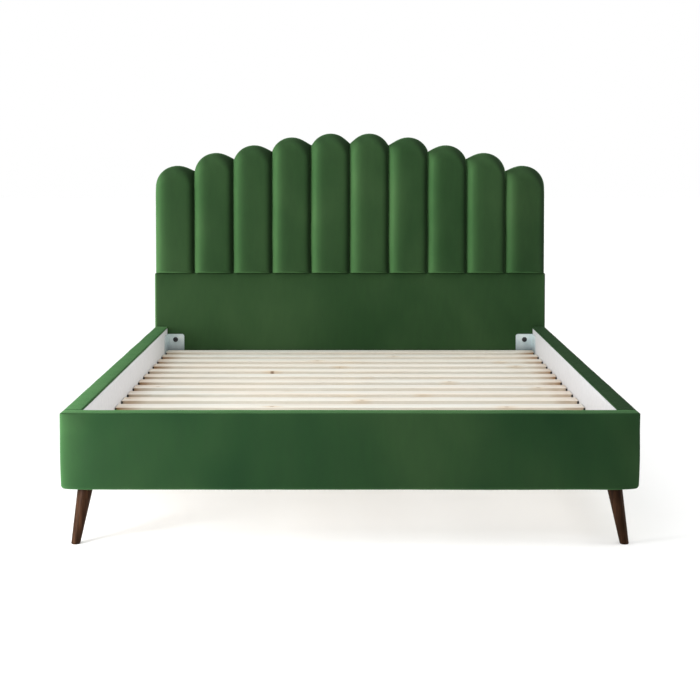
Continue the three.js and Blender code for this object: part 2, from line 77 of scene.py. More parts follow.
def smooth_max(a, b, blend):
    overlap = max(blend - abs(a - b), 0.0) / blend
    return max(a, b) + overlap * overlap * blend / 4


def divider(number):
    return -ROW_HALF + number * PITCH


def outline_height(channel, x):
    """Height of the headboard's scalloped edge at x, inside one channel."""
    from_outside = min(channel, CHANNELS - 1 - channel)
    inward = 1 if channel < CHANNELS / 2 else -1
    crown_x = divider(channel + 0.5) + inward * LEANS[from_outside]
    crown_z = CHANNEL_BOXES[channel][1].z
    offset = x - crown_x
    arc = crown_z - SCALLOP_RADIUS + math.sqrt(max(SCALLOP_RADIUS ** 2 - offset ** 2, 0.0))
    if offset * inward > 0:
        return smooth_max(arc, VALLEYS[from_outside], VALLEY_BLEND)
    floor = VALLEYS[from_outside - 1] if from_outside > 0 else 0.0
    return max(arc, floor)


# ---------------------------------------------------------------- mesh helpers
SAME_POINT = 1e-6  # vertices closer than this are merged


def finish_piece(name, mesh, material, smooth=True):
    obj = bpy.data.objects.new(name, mesh)
    bpy.context.collection.objects.link(obj)
    if smooth:
        mesh.shade_smooth()
    mesh.materials.append(material)
    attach(obj, BODY)
    return obj


def piece_from_lists(name, vertices, faces, material, smooth=True, merge=0.0):
    mesh = bpy.data.meshes.new(name)
    mesh.from_pydata(vertices, [], faces)
    tidy_mesh(mesh, merge)
    return finish_piece(name, mesh, material, smooth)


def tidy_mesh(mesh, merge):
    bm = bmesh.new()
    bm.from_mesh(mesh)
    if merge:
        bmesh.ops.remove_doubles(bm, verts=bm.verts, dist=merge)
    bmesh.ops.recalc_face_normals(bm, faces=bm.faces)
    bm.to_mesh(mesh)
    bm.free()


def grid_faces(rows, columns, first=0):
    faces = []
    for row in range(rows - 1):
        for column in range(columns - 1):
            a = first + row * columns + column
            faces.append((a, a + 1, a + columns + 1, a + columns))
    return faces


def cosine_steps(count):
    return [(1 - math.cos(math.pi * step / (count - 1))) / 2 for step in range(count)]


def axis_lines(low, high, radius, inner):
    """Grid lines along one axis of a rounded box, closer together where its edges turn."""
    turn = (0.0, 0.35, 0.7, 1.0)
    start = [low + radius * t for t in turn]
    end = [high - radius * t for t in reversed(turn)]
    span = (end[0] - start[-1]) / inner
    middle = [start[-1] + span * step for step in range(1, inner)]
    return start + middle + end


def rounded_box_mesh(name, low, high, radius, inner, shape=None):
    """A closed box with rolled edges and inner[axis] steps between them; shape may move its points."""
    lines = [axis_lines(low[a], high[a], radius, inner[a]) for a in range(3)]
    vertices, faces = [], []
    for axis in range(3):
        u, v = (axis + 1) % 3, (axis + 2) % 3
        for face_at in (low[axis], high[axis]):
            first = len(vertices)
            for b in lines[v]:
                for a in lines[u]:
                    point = Vector((0, 0, 0))
                    point[axis], point[u], point[v] = face_at, a, b
                    vertices.append(rolled(point, low, high, radius, shape))
            faces += grid_faces(len(lines[v]), len(lines[u]), first)
    mesh = bpy.data.meshes.new(name)
    mesh.from_pydata(vertices, [], faces)
    tidy_mesh(mesh, SAME_POINT)
    return mesh


def rolled(point, low, high, radius, shape):
    """A point of a sharp box, moved onto the rounded one."""
    core = Vector([min(max(point[a], low[a] + radius), high[a] - radius) for a in range(3)])
    normal = (point - core).normalized()
    result = core + normal * radius
    return shape(result, normal) if shape else result


def ripple(point, scale, seed):
    """Smooth noise from -1 to 1; a larger scale gives shorter waves."""
    return noise.noise(Vector((point.x * scale, point.y * scale, point.z * scale + seed)))


# ---------------------------------------------------------------- material helpers
MIX_FACTOR, MIX_FIRST, MIX_SECOND = 0, 6, 7  # inputs of a Mix node that is set to colour
MIX_RESULT = 2  # and its output


class Surface:
    """A Principled material being wired up."""

    def __init__(self, name, color, roughness, **constants):
        self.material = bpy.data.materials.new(name)
        self.material.use_nodes = True
        self.tree = self.material.node_tree
        self.shader = self.tree.nodes["Principled BSDF"]
        self.set("Base Color", (*color, 1.0))
        self.set("Roughness", roughness)
        for socket, value in constants.items():
            self.set(socket.replace("_", " "), value)
        self.place = self.node("ShaderNodeTexCoord").outputs["Object"]

    def set(self, socket, value):
        self.shader.inputs[socket].default_value = value

    def node(self, kind, **settings):
        made = self.tree.nodes.new(kind)
        for name, value in settings.items():
            setattr(made, name, value)
        return made

    def link(self, source, target):
        self.tree.links.new(source, target)

    def part(self, vector, axis):
        """One of the X, Y and Z of a vector."""
        parts = self.node("ShaderNodeSeparateXYZ")
        self.link(vector, parts.inputs["Vector"])
        return parts.outputs[axis]

    def facing(self):
        return self.node("ShaderNodeTexCoord").outputs["Normal"]

    def size_of(self, value):
        made = self.node("ShaderNodeMath", operation="ABSOLUTE")
        self.link(value, made.inputs[0])
        return made.outputs["Value"]

    def product(self, first, second):
        made = self.node("ShaderNodeMath", operation="MULTIPLY")
        self.link(first, made.inputs[0])
        self.link(second, made.inputs[1])
        return made.outputs["Value"]

    def scaled(self, scale):
        mapping = self.node("ShaderNodeMapping")
        mapping.inputs["Scale"].default_value = scale
        self.link(self.place, mapping.inputs["Vector"])
        return mapping.outputs["Vector"]

    def noise(self, scale, detail=3.0, roughness=0.5, stretch=None, distortion=0.0):
        made = self.node("ShaderNodeTexNoise")
        made.inputs["Scale"].default_value = scale
        made.inputs["Detail"].default_value = detail
        made.inputs["Roughness"].default_value = roughness
        made.inputs["Distortion"].default_value = distortion
        self.link(self.scaled(stretch) if stretch else self.place, made.inputs["Vector"])
        return made.outputs["Fac"]

    def ramp(self, value, stops):
        made = self.node("ShaderNodeValToRGB")
        elements = made.color_ramp.elements
        while len(elements) < len(stops):
            elements.new(0.5)
        for element, (position, color) in zip(elements, stops):
            element.position = position
            element.color = (*color, 1.0)
        self.link(value, made.inputs["Fac"])
        return made.outputs["Color"]

    def mix(self, factor, first, second, blend="MIX"):
        made = self.node("ShaderNodeMix", data_type="RGBA", blend_type=blend)
        for socket, value in ((MIX_FACTOR, factor), (MIX_FIRST, first), (MIX_SECOND, second)):
            if isinstance(value, (int, float)):
                made.inputs[socket].default_value = value
            elif isinstance(value, tuple):
                made.inputs[socket].default_value = (*value, 1.0)
            else:
                self.link(value, made.inputs[socket])
        return made.outputs[MIX_RESULT]

    def spread(self, value, low, high, to_low=0.0, to_high=1.0):
        made = self.node("ShaderNodeMapRange")
        made.inputs["From Min"].default_value = low
        made.inputs["From Max"].default_value = high
        made.inputs["To Min"].default_value = to_low
        made.inputs["To Max"].default_value = to_high
        self.link(value, made.inputs["Value"])
        return made.outputs["Result"]

    def color(self, source):
        self.link(source, self.shader.inputs["Base Color"])

    def roughness(self, source):
        self.link(source, self.shader.inputs["Roughness"])

    def bump(self, height, distance, strength, under=None):
        """Relief from height; under is the normal of coarser relief that this one lies on."""
        made = self.node("ShaderNodeBump")
        made.inputs["Distance"].default_value = distance
        made.inputs["Strength"].default_value = strength
        self.link(height, made.inputs["Height"])
        if under is not None:
            self.link(under, made.inputs["Normal"])
        self.link(made.outputs["Normal"], self.shader.inputs["Normal"])
        return made.outputs["Normal"]


# ---------------------------------------------------------------- velvet
# Each cover's deep, usual and pale green, where its pile is brushed down, as it falls, and brushed up.
HEADBOARD_GREENS = (0.020, 0.055, 0.019), (0.027, 0.066, 0.024), (0.037, 0.082, 0.031)
# The covers are one velvet: the end channel's and the rails' greens are darker than the headboard's, as
# painted shade.
END_CHANNEL_SHADED_GREENS = (0.016, 0.045, 0.016), (0.021, 0.053, 0.019), (0.030, 0.066, 0.025)
RAIL_SHADED_GREENS = (0.009, 0.034, 0.012), (0.014, 0.043, 0.015), (0.023, 0.056, 0.020)
RIGHT_RAIL_SHADED_GREENS = (0.013, 0.043, 0.016), (0.018, 0.051, 0.019), (0.025, 0.061, 0.021)

# The side each cover's painted light comes from: surfaces facing it are painted lighter, and those facing
# away are painted darker.
HEADBOARD_PAINTED_LIGHT_SIDE = (-0.88, -0.10, -0.46)
FOOT_RAIL_PAINTED_LIGHT_SIDE = (-0.60, -0.08, -0.36)
LEFT_RAIL_PAINTED_LIGHT_SIDE = (-0.34, -0.10, -0.12)
RIGHT_RAIL_PAINTED_LIGHT_SIDE = (-0.20, -0.25, -0.80)

SHEEN_GREEN = (0.42, 1.0, 0.38, 1.0)
STREAK_TONES = (0.35, (0.80, 0.81, 0.80)), (0.65, (1.12, 1.11, 1.10))
FUZZ_TONES = (0.3, (0.75, 0.76, 0.75)), (0.7, (1.2, 1.2, 1.2))
PAINTED_LIGHT_TONES = ((0.10, 0.30), (0.22, 0.46), (0.33, 0.86), (0.42, 1.04), (0.50, 1.0), (0.55, 0.97),
             (0.60, 1.14), (0.67, 1.60), (0.78, 2.5), (0.93, 3.3))  # painted shade to painted light, from facing away from the painted light's side to facing it
PAINTED_LIGHT_BLUE = 0.96  # share of blue kept in those tones


def velvet(name, greens, painted_light_side, sheen=0.28):
    """Short-pile green velvet: brushed patches, faint streaks and fine fuzz, with light and shade painted
    into its colour by which way each surface faces.
    """
    deep, usual, pale = greens
    surface = Surface(name, usual, 0.85, Sheen_Weight=sheen, Sheen_Roughness=0.32,
                      Sheen_Tint=SHEEN_GREEN, Specular_IOR_Level=0.08)
    brushed = surface.noise(2.6, detail=2.0, roughness=0.5, stretch=(1.0, 1.0, 0.7), distortion=0.4)
    pile = surface.ramp(brushed, [(0.32, deep), (0.50, usual), (0.70, pale)])
    streaks = surface.noise(60.0, detail=4.0, roughness=0.6, stretch=(1.0, 1.0, 0.25))
    streaked = surface.mix(0.30, pile, surface.ramp(streaks, STREAK_TONES), "MULTIPLY")
    fuzz = surface.noise(1800.0, detail=2.0, roughness=0.7)
    fuzzed = surface.mix(0.30, streaked, surface.ramp(fuzz, FUZZ_TONES), "MULTIPLY")
    # Light and shade painted into the colour by which way each surface faces.
    surface.color(surface.mix(1.0, fuzzed, painted_facing_light(surface, painted_light_side), "MULTIPLY"))
    surface.roughness(surface.spread(streaks, 0.3, 0.7, 0.74, 0.92))
    nap = surface.bump(surface.noise(45.0, detail=3.0, roughness=0.6), 0.5 * MM, 0.3)
    surface.bump(fuzz, 0.25 * MM, 0.5, under=nap)
    return surface.material


def painted_facing_light(surface, painted_light_side):
    """Painted light and shade: surfaces that face the painted light's side are painted lighter, and those
    that face away are painted darker.
    """
    along = surface.node("ShaderNodeVectorMath", operation="DOT_PRODUCT")
    along.inputs[1].default_value = painted_light_side
    surface.link(surface.facing(), along.inputs[0])
    return surface.ramp(surface.spread(along.outputs["Value"], -1.0, 1.0),
                        [(place, (tone, tone, PAINTED_LIGHT_BLUE * tone)) for place, tone in PAINTED_LIGHT_TONES])


VELVET = velvet("velvet_green", HEADBOARD_GREENS, HEADBOARD_PAINTED_LIGHT_SIDE)
# Lit and shaded copies of the one velvet, as painted light and shade: darker greens, each its own painted
# light side, and less sheen on the right rail.
END_VELVET_PAINTED_SHADE = velvet("velvet_green_end_painted_shade", END_CHANNEL_SHADED_GREENS, HEADBOARD_PAINTED_LIGHT_SIDE, sheen=0.24)
RAIL_VELVET_PAINTED_SHADE = velvet("velvet_green_rail_painted_shade", RAIL_SHADED_GREENS, FOOT_RAIL_PAINTED_LIGHT_SIDE)
LEFT_VELVET_PAINTED_SHADE = velvet("velvet_green_left_painted_shade", RAIL_SHADED_GREENS, LEFT_RAIL_PAINTED_LIGHT_SIDE)
RIGHT_VELVET_PAINTED_SHADE = velvet("velvet_green_right_painted_shade", RIGHT_RAIL_SHADED_GREENS, RIGHT_RAIL_PAINTED_LIGHT_SIDE, sheen=0.08)


# ---------------------------------------------------------------- lining, wood and metal
LINING_TONES = (0.3, (0.665, 0.665, 0.685)), (0.7, (0.72, 0.72, 0.74))


def lining_cloth():
    """Off-white non-woven lining, slightly mottled and creased."""
    surface = Surface("lining_white", (0.69, 0.69, 0.71), 0.9, Sheen_Weight=0.1, Specular_IOR_Level=0.2)
    mottle = surface.noise(70.0, detail=4.0, roughness=0.6)
    surface.color(surface.ramp(mottle, LINING_TONES))
    creases = surface.bump(surface.noise(14.0, detail=2.0), 1.2 * MM, 0.25)
    surface.bump(surface.noise(900.0, detail=2.0, roughness=0.7), 0.2 * MM, 0.5, under=creases)
    return surface.material


KNOT_TAN = (0.66, 0.46, 0.26)
# Painted shade: board ends brown towards the rails that shade them.
PAINTED_END_SHADE_BROWN = (0.42, 0.25, 0.13)
PAINTED_END_SHADE_FADE = 80 * MM
BOARD_TINTS = (0.35, (1.03, 0.98, 0.93)), (0.65, (0.98, 1.01, 1.02))
# Painted shade: upright faces darker than level ones.
UPRIGHT_PAINTED_SHADE_TONES = (0.0, (1.0, 1.0, 1.0)), (1.0, (0.80, 0.78, 0.74))


def stretched(axis, across, along):
    """Texture scale of a pattern drawn out along one axis."""
    return tuple(along if a == axis else across for a in range(3))


def planed_wood(name, pale, dark, axis, gloss, knots, painted_end_shade_from=None):
    """Planed softwood with grain along one axis and knots, its upright faces painted darker as painted shade,
    and painted shade browning it beyond painted_end_shade_from.
    """
    surface = Surface(name, pale, gloss, Specular_IOR_Level=0.35)
    grain = surface.noise(3.0, detail=4.0, roughness=0.6, stretch=stretched(axis, 40.0, 1.2), distortion=0.3)
    lighter = tuple(min(1.0, c * 1.05) for c in pale)
    board = surface.ramp(grain, [(0.28, dark), (0.55, pale), (0.8, lighter)])
    slow = surface.noise(2.2, detail=2.0, roughness=0.5, stretch=stretched(axis, 6.0, 1.0))
    wood = surface.mix(0.8, board, surface.ramp(slow, BOARD_TINTS), "MULTIPLY")
    wood = with_knots(surface, wood, knots)
    upright = upright_faces(surface)
    # Painted shade: the board browns towards its ends, where the rails shade it.
    if painted_end_shade_from:
        wood = surface.mix(painted_end_shade_mask(surface, axis, painted_end_shade_from, upright), wood, PAINTED_END_SHADE_BROWN)
    # Painted shade darkens the upright faces.
    surface.color(surface.mix(1.0, wood, surface.ramp(upright, UPRIGHT_PAINTED_SHADE_TONES), "MULTIPLY"))
    surface.roughness(surface.spread(grain, 0.3, 0.7, gloss - 0.06, gloss + 0.12))
    surface.bump(grain, 0.25 * MM, 0.3)
    return surface.material


def upright_faces(surface):
    """1 on upright faces and 0 on level ones."""
    level = surface.size_of(surface.part(surface.facing(), Z))
    return surface.spread(level, 0.3, 0.8, 1.0, 0.0)


def with_knots(surface, wood, knot):
    """Small dark knots, longer than they are wide, each in a patch of tan wood."""
    spots = surface.node("ShaderNodeTexVoronoi", feature="F1", voronoi_dimensions="2D")
    spots.inputs["Scale"].default_value = 1.0
    surface.link(surface.scaled((2.4, 4.8, 1.0)), spots.inputs["Vector"])
    patch = surface.spread(spots.outputs["Distance"], 0.02, 0.11, 0.40, 0.0)
    tan = surface.mix(patch, wood, KNOT_TAN)
    heart = surface.spread(spots.outputs["Distance"], 0.010, 0.024, 0.85, 0.0)
    return surface.mix(heart, tan, knot)


def painted_end_shade_mask(surface, axis, start, upright):
    """Where painted shade browns a board: 0 over its middle, rising in patches to its ends, most of all on
    its upright faces.
    """
    distance = surface.size_of(surface.part(surface.place, axis))
    rising = surface.spread(distance, start, start + PAINTED_END_SHADE_FADE)
    patches = surface.spread(surface.noise(7.0, detail=2.0), 0.36, 0.56, 0.3, 1.0)
    faces = surface.spread(upright, 0.0, 1.0, 0.45, 1.0)
    return surface.product(surface.product(rising, patches), faces)


def raw_board():
    """Wood chips pressed into a board."""
    surface = Surface("particle_board", (0.42, 0.29, 0.15), 0.85)
    chips = surface.noise(220.0, detail=4.0, roughness=0.7)
    surface.color(surface.ramp(chips, [(0.3, (0.30, 0.20, 0.10)), (0.7, (0.55, 0.40, 0.22))]))
    surface.bump(chips, 0.5 * MM, 0.5)
    return surface.material


WALNUT_TONES = (0.30, (0.011, 0.005, 0.002)), (0.50, (0.026, 0.011, 0.005)), (0.72, (0.060, 0.027, 0.013))


def walnut():
    """Dark stained wood under satin lacquer, grain running down the leg."""
    surface = Surface("walnut_stain", (0.03, 0.012, 0.006), 0.42, Specular_IOR_Level=0.05)
    grain = surface.noise(4.0, detail=6.0, roughness=0.65, stretch=stretched(Z, 22.0, 1.6), distortion=0.4)
    surface.color(surface.ramp(grain, WALNUT_TONES))
    pores = surface.noise(9.0, detail=3.0, roughness=0.7, stretch=stretched(Z, 90.0, 4.0))
    surface.roughness(surface.spread(pores, 0.3, 0.7, 0.36, 0.52))
    surface.bump(pores, 0.2 * MM, 0.4)
    return surface.material


ZINC_CLOUDS = (0.3, (0.66, 0.78, 0.81)), (0.55, (0.78, 0.88, 0.90)), (0.8, (0.88, 0.95, 0.96))
ZINC_DARKER_LOW = (0.0, (0.42, 0.44, 0.46)), (0.45, (0.78, 0.80, 0.82)), (1.0, (1.0, 1.0, 1.0))
DARKEST_BELOW, BRIGHT_ABOVE = 0.285, 0.335  # heights between which the plate brightens


def zinc():
    """Bright zinc plate over pressed steel, faintly blue and cloudy, and darker towards the bottom."""
    surface = Surface("zinc_plate", (0.70, 0.78, 0.82), 0.34, Metallic=0.55)
    clouds = surface.noise(34.0, detail=3.0, roughness=0.6)
    height = surface.spread(surface.part(surface.place, Z), DARKEST_BELOW, BRIGHT_ABOVE)
    plate, darkened = surface.ramp(clouds, ZINC_CLOUDS), surface.ramp(height, ZINC_DARKER_LOW)
    surface.color(surface.mix(1.0, plate, darkened, "MULTIPLY"))
    surface.roughness(surface.spread(clouds, 0.3, 0.7, 0.28, 0.46))
    brushing = surface.noise(500.0, detail=2.0, roughness=0.6, stretch=stretched(Z, 1.0, 0.15))
    surface.bump(brushing, 0.05 * MM, 0.4)
    return surface.material


def black_steel():
    """Fine-grained black paint on steel."""
    surface = Surface("black_steel", (0.016, 0.016, 0.018), 0.42, Metallic=0.3)
    grit = surface.noise(700.0, detail=3.0, roughness=0.6)
    surface.color(surface.ramp(grit, [(0.3, (0.011, 0.011, 0.013)), (0.7, (0.026, 0.026, 0.029))]))
    surface.bump(grit, 0.08 * MM, 0.5)
    return surface.material


LINING = lining_cloth()
SLAT_PINE = planed_wood("slat_pine", pale=(0.83, 0.80, 0.735), dark=(0.76, 0.72, 0.635), axis=X, gloss=0.5,
                        knots=(0.22, 0.12, 0.06), painted_end_shade_from=0.675)
RAIL_PINE = planed_wood("rail_pine", pale=(0.72, 0.58, 0.38), dark=(0.50, 0.35, 0.19), axis=Y, gloss=0.6,
                        knots=(0.20, 0.10, 0.05))
BOARD = raw_board()
WALNUT = walnut()
ZINC = zinc()
BLACK = black_steel()


# ---------------------------------------------------------------- headboard channels
GROOVE_Y = HEAD_Y + 30 * MM  # bottom of the folds between channels
CROWN_Y = CHANNEL_BOXES[0][0].y
TOP_ROLL = 62 * MM
CROWN_POWER = 3.1  # 2 is a half ellipse, more is flatter in front
BASE_ROLL = 9 * MM
BASE_Y = HEAD_Y - 12 * MM
FOLD_WANDER = 1.6 * MM
FOLD_GAP = 0.25 * MM  # each channel's share of the gap in a fold
STUFFING_UNEVEN = 0.7 * MM
CHANNEL_COLUMNS = 37
CHANNEL_ROWS = 72


def quarter(t):
    """Height of a quarter circle, 0 at its edge and 1 from t = 1 on."""
    return math.sqrt(max(1 - (1 - min(t, 1.0)) ** 2, 0.0))


def fold_wander(number, z):
    """Sideways wander of the fold between two channels; the outside edges stay straight."""
    if number in (0, CHANNELS):
        return 0.0
    return FOLD_WANDER * noise.noise(Vector((number * 7.3, 0.0, z * 6.0)))


def channel_point(channel, u, v):
    """A point on a channel's front; u is from -1 to 1 across it, and v from 0 at the seam to 1 on top."""
    left = divider(channel)
    x_plain = left + PITCH * (u + 1) / 2
    top = outline_height(channel, x_plain)
    z = SEAM_Z + (top - SEAM_Z) * v
    left_x = left + fold_wander(channel, z)
    right_x = left + PITCH + fold_wander(channel + 1, z)
    x = (left_x + right_x) / 2 + u * ((right_x - left_x) / 2 - FOLD_GAP)
    across = max(1 - abs(u) ** CROWN_POWER, 0.0) ** (1 / CROWN_POWER)
    y = GROOVE_Y - (GROOVE_Y - CROWN_Y) * across * quarter((top - z) / TOP_ROLL)
    y += STUFFING_UNEVEN * across * noise.noise(Vector((x * 16, channel * 3.1, z * 6)))
    if y < BASE_Y:
        y = BASE_Y + (y - BASE_Y) * quarter((z - SEAM_Z) / BASE_ROLL)
    return Vector((x, y, z))


def headboard_channel(channel):
    """One stuffed channel: crowned front, rolled top and a flat back against the board."""
    name = f"channel_cushion_{channel + 1:02d}"
    # The rightmost channel gets the darker copy of the velvet, as painted shade.
    material = END_VELVET_PAINTED_SHADE if channel == CHANNELS - 1 else VELVET
    rows = cosine_steps(CHANNEL_ROWS)
    columns = [2 * t - 1 for t in cosine_steps(CHANNEL_COLUMNS)]
    vertices = [channel_point(channel, u, v) for v in rows for u in columns]
    faces = grid_faces(CHANNEL_ROWS, CHANNEL_COLUMNS)
    rim = rim_indices(CHANNEL_ROWS, CHANNEL_COLUMNS)
    first = len(vertices)
    vertices += [Vector((vertices[i].x, CUSHION_BACK_Y, vertices[i].z)) for i in rim]
    for step in range(len(rim)):
        after = (step + 1) % len(rim)
        faces.append((rim[step], rim[after], first + after, first + step))
    faces.append(tuple(range(first, first + len(rim))))
    cushion = piece_from_lists(name, vertices, faces, material, merge=SAME_POINT)
    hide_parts(f"headboard_channel_{channel + 1:02d}")


def rim_indices(rows, columns):
    """The outermost vertices of a grid, once round from its first one."""
    bottom = list(range(columns))
    right = [row * columns + columns - 1 for row in range(1, rows)]
    top = [(rows - 1) * columns + column for column in range(columns - 2, -1, -1)]
    left = [row * columns for row in range(rows - 2, 0, -1)]
    return bottom + right + top + left


# ---------------------------------------------------------------- headboard lower panel, edge and back
PANEL_PROUD = 1.5 * MM  # past the CAD pad's ends
PANEL_CROWN = 4 * MM
PANEL_SWAY = 1.2 * MM
PANEL_EDGE = 9 * MM
PANEL_STEPS = (110, 2, 30)
SEAM_GAP = 0.3 * MM


def lower_panel_shape(point, normal):
    """The panel's front: a gentle crown with shallow ripples."""
    if normal.y > -0.5:
        return point
    across = 1 - (point.x / HALF_WIDTH) ** 2
    height = (point.z - RAIL_BOTTOM) / (SEAM_Z - RAIL_BOTTOM)
    crown = PANEL_CROWN * math.sqrt(max(across, 0)) * math.sqrt(max(4 * height * (1 - height), 0))
    sway = PANEL_SWAY * ripple(Vector((point.x, 0, point.z * 0.5)), 4.0, 2.0)
    return point + Vector((0, -crown + sway, 0))


def headboard_lower_panel():
    low = Vector((-HALF_WIDTH - PANEL_PROUD, HEAD_Y, RAIL_BOTTOM))
    high = Vector((HALF_WIDTH + PANEL_PROUD, CUSHION_BACK_Y, SEAM_Z - SEAM_GAP))
    mesh = rounded_box_mesh("lower_panel", low, high, PANEL_EDGE, PANEL_STEPS, lower_panel_shape)
    panel = finish_piece("lower_panel", mesh, VELVET)
    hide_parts("headboard_lower_pad")


def edge_loop():
    """The headboard's whole edge in X and Z: up the left side, over the scallops, down and back."""
    loop = []
    side_steps = 16
    for step in range(side_steps):
        z = RAIL_BOTTOM + (SEAM_Z - RAIL_BOTTOM) * step / side_steps
        loop.append(Vector((-HALF_WIDTH, z)))
    outer_height = outline_height(0, -ROW_HALF)
    for step in range(side_steps):
        loop.append(Vector((-ROW_HALF, SEAM_Z + (outer_height - SEAM_Z) * step / side_steps)))
    for channel in range(CHANNELS):
        for t in cosine_steps(17)[:-1]:
            x = divider(channel) + PITCH * t
            loop.append(Vector((x, outline_height(channel, x))))
    right_side = [Vector((-p.x, p.y)) for p in loop[:2 * side_steps + 1]]
    loop += list(reversed(right_side))
    bottom_steps = 40
    for step in range(1, bottom_steps):
        loop.append(Vector((HALF_WIDTH - 2 * HALF_WIDTH * step / bottom_steps, RAIL_BOTTOM)))
    return loop


def drawn_in(loop, inset):
    """The loop moved inwards by inset along its own normals; it runs clockwise seen from the foot."""
    moved = []
    for index, point in enumerate(loop):
        along = (loop[(index + 1) % len(loop)] - loop[index - 1]).normalized()
        moved.append(point + Vector((along.y, -along.x)) * inset)
    return moved


def tube_faces(rings, count):
    """Faces between closed rings of count vertices."""
    faces = []
    for ring in range(rings - 1):
        for step in range(count):
            after = (step + 1) % count
            faces.append((ring * count + step, ring * count + after,
                          (ring + 1) * count + after, (ring + 1) * count + step))
    return faces


def headboard_edge_band():
    """Velvet over wadding round the board's edge, rolled over at the back."""
    roll = 5 * MM
    front = CUSHION_BACK_Y + SEAM_GAP
    profile = [(front, 3 * MM), (front + 1 * MM, 1.2 * MM), (front + 4 * MM, 0.0),
               (BACK_Y - 14 * MM, -0.6 * MM), (BACK_Y - roll, 0.0),
               (BACK_Y - 0.3 * roll, 0.25 * roll), (BACK_Y, roll), (BACK_Y, 16 * MM)]  # each Y and its inset
    loop = edge_loop()
    vertices = []
    for y, inset in profile:
        vertices += [Vector((p.x, y, p.y)) for p in drawn_in(loop, inset)]
    faces = tube_faces(len(profile), len(loop))
    band = piece_from_lists("headboard_edge_band", vertices, faces, VELVET)
    thicken(band, 1.2 * MM)
    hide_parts("headboard_border")


def thicken(obj, thickness, offset=-1.0):
    """Gives cloth its thickness: behind its surface at offset -1, and on both sides of it at 0."""
    modifier = obj.modifiers.new("cloth thickness", "SOLIDIFY")
    modifier.thickness = thickness
    modifier.offset = offset


BACK_INSET = 9 * MM  # from the headboard's edge to the back panel's
BACK_PUFF = 2.4 * MM
BACK_SWAY = 0.8 * MM
PUFF_RISE = 50 * MM  # the puff is full this far in from the panel's edges
BACK_GAP = 0.4 * MM  # between the edge band and the panel's rim
BACK_ROWS = 40


def back_columns():
    """Each column of the back panel, as its channel and its X on the headboard's edge."""
    columns = []
    for channel in range(CHANNELS):
        for t in cosine_steps(13)[:-1]:
            columns.append((channel, divider(channel) + PITCH * t))
    columns.append((CHANNELS - 1, divider(CHANNELS)))
    return columns


def back_point(channel, x_edge, v):
    x = x_edge * (ROW_HALF - BACK_INSET) / ROW_HALF
    top = outline_height(channel, x) - BACK_INSET
    low = RAIL_BOTTOM + BACK_INSET
    z = low + (top - low) * v
    puff = quarter((ROW_HALF - BACK_INSET - abs(x)) / PUFF_RISE)
    puff = puff * quarter((top - z) / PUFF_RISE) * quarter((z - low) / PUFF_RISE)
    sway = BACK_SWAY * noise.noise(Vector((x * 3, 4.0, z * 3)))
    return Vector((x, BACK_Y + BACK_GAP + (BACK_PUFF + sway) * puff, z))


def headboard_back_panel():
    """The closing cloth on the back: one puffed panel inside the rolled edge."""
    columns = back_columns()
    vertices = []
    for v in cosine_steps(BACK_ROWS):
        vertices += [back_point(channel, x_edge, v) for channel, x_edge in columns]
    faces = grid_faces(BACK_ROWS, len(columns))
    panel = piece_from_lists("headboard_back_panel", vertices, faces, VELVET, merge=SAME_POINT)
    thicken(panel, 1.5 * MM)
    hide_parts("headboard_back_cover")


# ---------------------------------------------------------------- padded rails
JOINT_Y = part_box("side_pad_left")[0].y  # seam between a side rail's cover and the foot rail's
FOOT_THICKNESS = JOINT_Y - FOOT_Y
SECTION_TURNS, FACE_ROWS, TOP_ROWS = 6, 22, 8  # steps round a roll, up the face and over the top
UNDER_ROLL, OUTER_ROLL, INNER_ROLL = 11 * MM, 5 * MM, 3 * MM
TOP_LIFT, TOP_DOME = 2 * MM, 0.8 * MM  # of the padded top over the CAD pad's
INNER_GAP = 0.2 * MM
CORNER_CRISP, CORNER_FULL = 10 * MM, 23 * MM  # depth of an upright corner at its top, and lower down
CORNER_FILLS_IN = 55 * MM
LINING_TOP = RAIL_TOP - 5 * MM
TUCKED = 2 * MM  # how far the velvet's turned-down edge steps back behind the lining
PROUD = 1 * MM  # how far the covers stand out from the CAD pads all over
BULGE = 2.5 * MM  # and how much more halfway up
SAG = 4.5 * MM  # roll of velvet hanging below a rail's outer edge
CORNER_STRETCH = 5.0  # an upright corner's curve starts this much further along the face than round the end
SEAM_DEPTH, SEAM_ROLL = 2 * MM, 7 * MM
COVER_THICKNESS = 1.5 * MM
SLOW_SWELL, QUICK_SWELL = 0.9 * MM, 0.35 * MM


def corner_depth(height):
    """The foot's upright corners are crisp on top, and full from a few centimetres down."""
    below_top = min(max((RAIL_TOP - height) / CORNER_FILLS_IN, 0.0), 1.0)
    return CORNER_CRISP + (CORNER_FULL - CORNER_CRISP) * below_top ** 0.7


def arc_points(centre, radius, start, end):
    """Points round an arc, from one angle in degrees to another."""
    shares = [step / SECTION_TURNS for step in range(SECTION_TURNS + 1)]
    angles = [math.radians(start + (end - start) * share) for share in shares]
    return [(centre[0] + radius * math.cos(a), centre[1] + radius * math.sin(a)) for a in angles]


def face_points(low, high):
    """The outer face between its rolls, fullest halfway up."""
    points = []
    for row in range(1, FACE_ROWS):
        t = row / FACE_ROWS
        swell = PROUD + BULGE * math.sin(math.pi * t) ** 0.8
        points.append((-swell, low + (high - low) * t))
    return points


def top_points(first, last, high):
    """The top between its rolls, slightly domed."""
    points = []
    for row in range(1, TOP_ROWS):
        t = row / TOP_ROWS
        points.append((first + (last - first) * t, high + TOP_DOME * math.sin(math.pi * t)))
    return points


